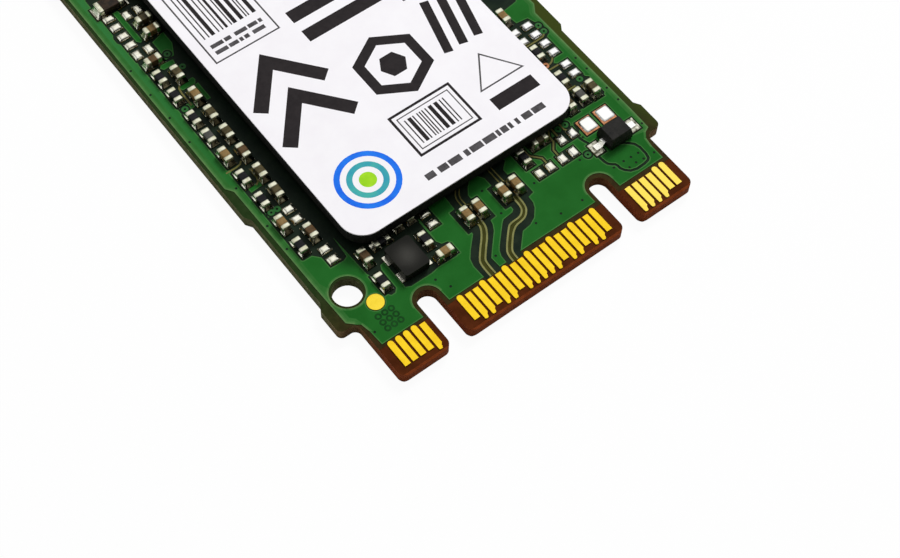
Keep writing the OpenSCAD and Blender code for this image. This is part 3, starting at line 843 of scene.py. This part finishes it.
def board_sides():
    """Routed side faces of the board and the bevels of the card edge."""
    work = node_mesh("circuit_board")
    flat = [f for f in work.faces if abs(f.normal.z) > 0.99]
    bmesh.ops.delete(work, geom=flat, context="FACES")
    level = [e for e in work.edges
             if e.calc_length() > 0.5 and abs(e.verts[0].co.z - e.verts[1].co.z) < 1e-4]
    for edge in level:
        cuts = min(160, int(edge.calc_length() / SIDE_CELL))
        bmesh.ops.subdivide_edges(work, edges=[edge], cuts=cuts)
    for vert in work.verts:
        if abs(vert.co.z - TOP) < 1e-3:
            vert.co.z = LAMINATE
        elif abs(vert.co.z) < 1e-3:
            vert.co.z = UNDER_LAMINATE
    from_work(work, "board_sides", [SIDE])


def box_mesh(work, low, high, radius, slot):
    """Adds a box with rounded edges to a bmesh."""
    old = set(work.faces)
    made = bmesh.ops.create_cube(work, size=1.0)["verts"]
    for vert in made:
        vert.co = Vector([low[i] if vert.co[i] < 0 else high[i] for i in range(3)])
    edges = list({e for v in made for e in v.link_edges})
    bmesh.ops.bevel(work, geom=edges, offset=radius, segments=2, profile=0.5,
                    affect="EDGES", clamp_overlap=True)
    for face in set(work.faces) - old:
        face.material_index = slot
        face.smooth = True


def seat(work, old, chip):
    """Turns and moves the points that aren't old from a chip's own frame into the row frame."""
    turn = Matrix.Translation((chip["x"], chip["y"], chip["z"])) @ Matrix.Rotation(
        math.radians(chip["turn"]), 4, "Z")
    bmesh.ops.transform(work, matrix=turn, verts=[v for v in work.verts if v not in old])


def mirrored(half, middle):
    """Points of a right half, mirrored to the left, over the middle and back to the right."""
    return [(-point[0], *point[1:]) for point in half] + [middle] + half[::-1]


def skin(work, rows, slot):
    """Smooth faces between rows of points."""
    for low, high in zip(rows, rows[1:]):
        for i in range(len(low) - 1):
            face = work.faces.new([low[i], low[i + 1], high[i + 1], high[i]])
            face.material_index = slot
            face.smooth = True


def skirt(work, chip, side):
    """Concave solder from the land's outline up three sides of a metal end."""
    half = chip["width"] / 2
    y_out = chip["length"] / 2
    y_in = y_out - chip["end"]
    y_mid = y_in + 0.5 * chip["end"]
    land = half + LAND_SIDE
    land_out = y_out + LAND_OUT
    wall = mirrored([(half, y_in, 0.16), (half, y_mid, 0.3), (half, y_out - 0.03, 0.5),
                     (half * 0.8, y_out, 0.85), (half * 0.4, y_out, 1.0)], (0, y_out, 1.0))
    foot = mirrored([(land, y_in), (land, y_mid), (land, y_out + 0.05), (land * 0.9, land_out),
                     (land * 0.5, land_out)], (0, land_out))
    steps = 6
    rise = chip["height"] * SOLDER_SHARE
    rows = []
    for i in range(steps + 1):
        t = i / steps
        row = []
        for (x0, y0, share), (x1, y1) in zip(wall, foot):
            x = x0 * 0.96 + (x1 - x0 * 0.96) * t
            y = (y0 - 0.01) + (y1 - y0 + 0.01) * t
            row.append(work.verts.new((x, side * y, rise * share * (1 - t) ** 1.25 + 0.002)))
        rows.append(row)
    rows.append([work.verts.new((v.co.x, v.co.y, -0.03)) for v in rows[-1]])
    skin(work, rows, 1)


def chip_metal(name, node, places):
    """Metal ends with solder climbing them; the solder is darkened as painted shade, and its faces
    towards the window on the left take bright tin as a painted glint.
    """
    work = bmesh.new()
    for chip in places:
        for side in (-1, 1):
            y_out = side * chip["length"] / 2
            y_in = side * (chip["length"] / 2 - chip["end"] - END_LAP)
            low = (-chip["width"] / 2, min(y_out, y_in), 0)
            high = (chip["width"] / 2, max(y_out, y_in), chip["height"])
            old = set(work.verts)
            box_mesh(work, low, high, min(0.06, chip["height"] * 0.18), 0)
            skirt(work, chip, side)
            seat(work, old, chip)
    bmesh.ops.recalc_face_normals(work, faces=work.faces)
    # Solder faces that turn to the left take the bright tin: a painted glint
    for face in work.faces:
        if face.material_index == 1 and face.normal.x < -0.3:
            face.material_index = 2
    from_work(work, name, [TIN_END, SOLDER_PAINTED_SHADE, TIN], node)


def chip_bodies(name, node, places, materials, pick):
    """Bodies between the metal ends, just inside the CAD's."""
    work = bmesh.new()
    for chip in places:
        old = set(work.verts)
        half = chip["length"] / 2 - chip["end"] * 0.6
        low = (-chip["width"] / 2 + BODY_INSET, -half, BODY_INSET)
        high = (chip["width"] / 2 - BODY_INSET, half, chip["height"] - BODY_INSET)
        box_mesh(work, low, high, 0.035, pick(chip))
        seat(work, old, chip)
    from_work(work, name, materials, node)


def level_with(chip, rows):
    """Whether a chip part lies in one of the rows, given by their Y."""
    return any(abs(chip["y"] - y) < 0.1 for y in rows)


def capacitor_colour(chip):
    """Place in CERAMICS: dark for the larger one, tan in front, mixed along the columns."""
    if chip["length"] > 1.2:
        return 3
    if chip["y"] < 6.3:
        return 0
    if chip["x"] > 0:
        return 2 if chip["y"] < 9 else 0
    if level_with(chip, (11.12, 16.53, 20.89, 26.15)):
        return 0
    return 1 if level_with(chip, (9.8, 16.17, 6.83, 24.28)) else 2


def resistor_colour(chip):
    """Place in RESISTORS: two of the photographed ones have a grey back."""
    return 1 if level_with(chip, (18.17, 8.15)) else 0


def chip_parts():
    """All chip capacitors and resistors."""
    for kind, sides, body, materials, colour in (
            ("capacitor", ("coupling", "front", "left", "right", "rear"), "_ceramic", CERAMICS,
             capacitor_colour),
            ("resistor", ("front", "left", "right"), "_chip", RESISTORS, resistor_colour)):
        for side in sides:
            group = side + "_" + kind
            places = chips(group)
            chip_metal(group + "_metal", group + "_ends", places)
            chip_bodies(group + body, group + "_bodies", places, materials, colour)


def pillow(work, low, high, rise, sharp):
    """Domed solder on a flat land, with rounded corners."""
    cells = 14
    middle = [(low[0] + high[0]) / 2, (low[1] + high[1]) / 2]
    half = [(high[0] - low[0]) / 2, (high[1] - low[1]) / 2]
    grid = []
    for j in range(cells + 1):
        row = []
        for i in range(cells + 1):
            u, v = 2 * i / cells - 1, 2 * j / cells - 1
            near = max(abs(u), abs(v))
            far = (abs(u) ** 7 + abs(v) ** 7) ** (1 / 7)
            pull = near / far if far > 0 else 1
            x = middle[0] + half[0] * u * pull
            y = middle[1] + half[1] * v * pull
            lift = max(0, 1 - near ** sharp) ** 0.6
            row.append(work.verts.new((x, y, high[2] - 0.002 + rise * lift)))
        grid.append(row)
    skin(work, grid, 0)


def bare_solder():
    """Domed solder on the lands without a part, and thinner on the two coil lands."""
    for name, node, rise, sharp, inset in (
            ("bare_solder", "bare_lands", 0.13, 3.0, (0, 0, 0, 0)),
            ("coil_solder", "coil_lands", 0.07, 6.0, (0.1, 0.1, -0.01, 0.02))):
        work = bmesh.new()
        for low, high in solids(node):
            low = [low[0] + inset[0], low[1] + inset[1], low[2]]
            high = [high[0] - inset[2], high[1] - inset[3], high[2]]
            pillow(work, low, high, rise, sharp)
        from_work(work, name, [TIN])


def soften(node, material, width, segments=3):
    """A CAD node with rounded edges and its finish."""
    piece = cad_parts[node]
    piece.data.materials.clear()
    piece.data.materials.append(material)
    edge = piece.modifiers.new("edge", "BEVEL")
    edge.width = width * MM
    edge.segments = segments
    edge.limit_method = "ANGLE"
    edge.use_clamp_overlap = True


def plain_nodes():
    """CAD nodes that show themselves."""
    soften("top_contacts", GOLD, 0.02)
    soften("bottom_contacts", GOLD, 0.012)
    soften("hold_down_ring", GOLD, 0.01)
    soften("camera_marks", GOLD_MARK, 0.012)
    soften("solder_lands", SOLDER_RIM_PAINTED_GLINTS, 0.012)
    soften("bare_lands", SOLDER_PAINTED_SHADE, 0.012)
    soften("coil_lands", COPPER, 0.012)
    soften("clock_terminals", TIN, 0.012)
    for node in ("controller", "working_memory", "flash_package_1", "flash_package_2",
                 "power_manager"):
        soften(node, MOULD, 0.03)
    soften("power_coils", COIL, 0.08, 4)
    soften("heat_pad", PAD, 0.06)
    soften("clock_package", CLOCK, 0.14, 5)
    soften("diode_body", MOULD, 0.05)
    soften("diode_leads", TIN, 0.03)


def frame_lines(plan, kind, x0, y0, x1, y1, width):
    """A thin rectangular frame as four bars."""
    for bar in ((x0, y0, x1, y0 + width), (x0, y1 - width, x1, y1),
                (x0, y0 + width, x0 + width, y1 - width), (x1 - width, y0 + width, x1, y1 - width)):
        plan.add(kind, rect(*bar))


def dash_row(plan, x0, x1, y, height, seed):
    """A row of short bars in place of words."""
    rng = random.Random(seed)
    x = x0
    while x < x1 - 0.3:
        long = min(rng.choice((0.22, 0.3, 0.42, 0.6, 0.8)), x1 - x)
        plan.add("thin", rect(x, y, x + long, y + height))
        x += long + rng.choice((0.1, 0.1, 0.26))


def bar_field(plan, x0, x1, y0, y1, seed):
    """A field of upright bars of changing width."""
    rng = random.Random(seed)
    x = x0
    while x < x1 - 0.2:
        wide = rng.choice((0.08, 0.08, 0.16, 0.24))
        plan.add("ink", rect(x, y0, x + wide, y1))
        x += wide + rng.choice((0.09, 0.14, 0.2))


def hexagon(cx, cy, r, turn=0):
    """Corners of a hexagon."""
    return arc(cx, cy, r, turn, turn + 300, 5)


def emblems(plan):
    """Rings, chevrons, a hexagon nut, slashes and two bars in place of the pictured signs."""
    for i, kind in enumerate(("blue", "blank", "teal", "blank", "lime")):
        plan.add("%s%d" % (kind, i), circle(-4.75, 10.05, 1.85 - 0.34 * i, 40))
    plan.add("ink", strip([(-6.9, 14.2), (-4.7, 16.9), (-2.5, 14.2)], 0.85))
    plan.add("ink", strip([(-6.9, 17.0), (-4.7, 19.7), (-2.5, 17.0)], 0.85))
    plan.add("ink", hexagon(0.9, 15.4, 2.3, 30))
    plan.add("gap", hexagon(0.9, 15.4, 1.6, 30))
    plan.add("core", hexagon(0.9, 15.4, 0.85))
    for i in range(3):
        plan.add("ink", strip([(3.9 + 1.05 * i, 14.2), (4.9 + 1.05 * i, 17.9)], 0.55))
    plan.add("ink", rect(-1.9, 19.4, 3.6, 20.3))
    plan.add("ink", rect(-1.9, 21.0, 1.6, 21.9))


def panels(plan):
    """Two framed fields of bars, a bar, a triangle and rows of dashes."""
    frame_lines(plan, "thin", -7.0, 21.2, -2.7, 28.6, 0.1)
    bar_field(plan, -6.6, -3.1, 23.0, 28.2, 3)
    dash_row(plan, -6.6, -3.1, 22.2, 0.28, 5)
    dash_row(plan, -6.6, -3.1, 21.7, 0.28, 6)
    frame_lines(plan, "ink", -1.6, 9.5, 2.6, 12.6, 0.16)
    frame_lines(plan, "thin", -1.25, 9.85, 2.25, 12.25, 0.07)
    bar_field(plan, -0.95, 1.95, 10.15, 11.95, 8)
    plan.add("ink", rect(3.7, 9.4, 6.6, 10.3))
    plan.add("thin", [(3.6, 10.95), (6.7, 10.95), (5.15, 13.2)])
    plan.add("gap", [(3.78, 11.05), (6.52, 11.05), (5.15, 13.02)])
    dash_row(plan, -2.2, 6.4, 8.05, 0.42, 11)
    dash_row(plan, 4.0, 6.8, 18.6, 0.3, 12)


def far_print(plan):
    """The stretch beyond the photo's edge: a framed block of rows, a bar and more rows."""
    frame_lines(plan, "thin", -6.8, 31.5, 6.8, 52.0, 0.12)
    bar_field(plan, -6.0, 0.5, 46.5, 50.8, 14)
    for i in range(9):
        dash_row(plan, -6.0, 6.0, 33.0 + 1.4 * i, 0.5, 20 + i)
    plan.add("ink", rect(-6.8, 55.0, 6.8, 56.2))
    for i in range(6):
        dash_row(plan, -6.4, 6.4, 58.5 + 1.5 * i, 0.5, 40 + i)


def label_map(outline):
    """Generic print in the colours and at the scale of the pictured label."""
    plan = FlatMap()
    plan.add("paper", outline)
    emblems(plan)
    panels(plan)
    far_print(plan)
    return plan


# What each kind of outline on the label shows, the uppermost first
PRINT_SHOWN = {"lime4": "lime", "blank3": "paper", "teal2": "teal", "blank1": "paper",
               "blue0": "blue", "core": "ink", "gap": "paper", "ink": "ink", "thin": "ink_thin"}


def label_class(kinds, _middle):
    """Ink or paper at a place on the label."""
    return first_shown(kinds, PRINT_SHOWN, "paper") if "paper" in kinds else None


def label():
    """Label with its print, just under the height of the CAD label."""
    low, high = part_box("label")
    outline = max(flat_loops("label", high[2] / MM), key=area)
    z = high[2] / MM - 0.002
    levels = {tone: (z, material) for tone, material in PRINT.items()}
    piece = relief("label_face", label_map(outline), label_class, levels)
    n = len(outline)
    rim = [(x, y, level) for x, y in outline for level in (z, low[2] / MM)]
    faces = [[2 * i, 2 * i + 1, 2 * j + 1, 2 * j] for i, j in zip(range(n), [*range(1, n), 0])]
    edge = new_piece("label_edge", mesh_from("label_edge", rim, faces), [PRINT["paper"]])
    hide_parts("label")


def camera():
    """The photograph's view: a close look down the card edge."""
    data = bpy.data.cameras.new("camera")
    data.sensor_fit = "HORIZONTAL"
    data.sensor_width = 36
    data.lens = CAMERA_LENS
    data.clip_start = 0.005
    data.clip_end = 5
    view = bpy.data.objects.new("camera", data)
    right = Vector(CAMERA_RIGHT)
    ahead = Vector(CAMERA_AHEAD)
    turn = Matrix((right, right.cross(ahead), -ahead)).transposed().to_4x4()
    view.matrix_world = Matrix.Translation(Vector(CAMERA_AT) * MM) @ turn
    bpy.context.scene.collection.objects.link(view)
    bpy.context.scene.camera = view


def key_light():
    """A square soft light over the far right that looks at the card edge."""
    data = bpy.data.lights.new("key", "AREA")
    data.shape = "SQUARE"
    data.size = 0.14
    data.energy = KEY_POWER
    light = bpy.data.objects.new("key", data)
    light.visible_glossy = False
    direction = Vector(KEY_SIDE).normalized()
    light.location = Vector((0, 0.012, 0)) + direction * 0.5
    light.rotation_euler = direction.to_track_quat("Z", "Y").to_euler()
    bpy.context.scene.collection.objects.link(light)


def sky_patch(tree, towards, stops):
    """Grey level of the sky by its angle from one direction."""
    aim = measured(tree, "DOT_PRODUCT", Vector(towards).normalized(), "Generated")
    return ramp(tree, aim, [(position, (grey,) * 3) for position, grey in stops])


def sky():
    """Overhead softbox and a small low window on the left as a sky, white to the camera."""
    world = bpy.data.worlds.new("sky")
    world.use_nodes = True
    tree = world.node_tree
    above = sky_patch(tree, SKY_TOP, ((0.2, 0.015), (0.6, 0.2), (0.95, 1.0)))
    left = sky_patch(tree, SKY_LEFT, ((0.88, 0.0), (0.96, 0.9)))
    seen = tree.nodes.new("ShaderNodeLightPath").outputs["Is Camera Ray"]
    colour = mixed(tree, seen, mixed(tree, 1.0, above, left, "ADD"), (1 / SKY_LEVEL,) * 3)
    tree.links.new(colour, tree.nodes["Background"].inputs["Color"])
    tree.nodes["Background"].inputs["Strength"].default_value = SKY_LEVEL
    bpy.context.scene.world = world


def floor_white():
    """Matt white that also glows for the camera alone, so that it stays white in the picture."""
    material, tree, shader = node_material("floor_white")
    tree.links.new(speckled(tree, noise(tree, 0.02), (0.79,) * 3, (0.81,) * 3),
                   shader.inputs["Base Color"])
    shader.inputs["Roughness"].default_value = 0.9
    glow = tree.nodes.new("ShaderNodeEmission")
    mix = tree.nodes.new("ShaderNodeMixShader")
    share = tree.nodes.new("ShaderNodeMath")
    share.operation = "MULTIPLY"
    share.inputs[1].default_value = FLOOR_GLOW
    tree.links.new(tree.nodes.new("ShaderNodeLightPath").outputs["Is Camera Ray"], share.inputs[0])
    tree.links.new(share.outputs[0], mix.inputs["Fac"])
    tree.links.new(shader.outputs["BSDF"], mix.inputs[1])
    tree.links.new(glow.outputs["Emission"], mix.inputs[2])
    tree.links.new(mix.outputs["Shader"], tree.nodes["Material Output"].inputs["Surface"])
    return material


def studio():
    """White floor, one soft key light and the sky."""
    sky()
    key_light()
    bpy.ops.mesh.primitive_plane_add(size=1.6, location=(0, 0.03, -0.00002))
    floor = bpy.context.object
    floor.name = "floor"
    floor.data.materials.append(floor_white())
    bpy.context.scene.view_settings.view_transform = "Standard"


board_top()
board_under()
board_sides()
chip_parts()
bare_solder()
plain_nodes()
label()
camera()
studio()
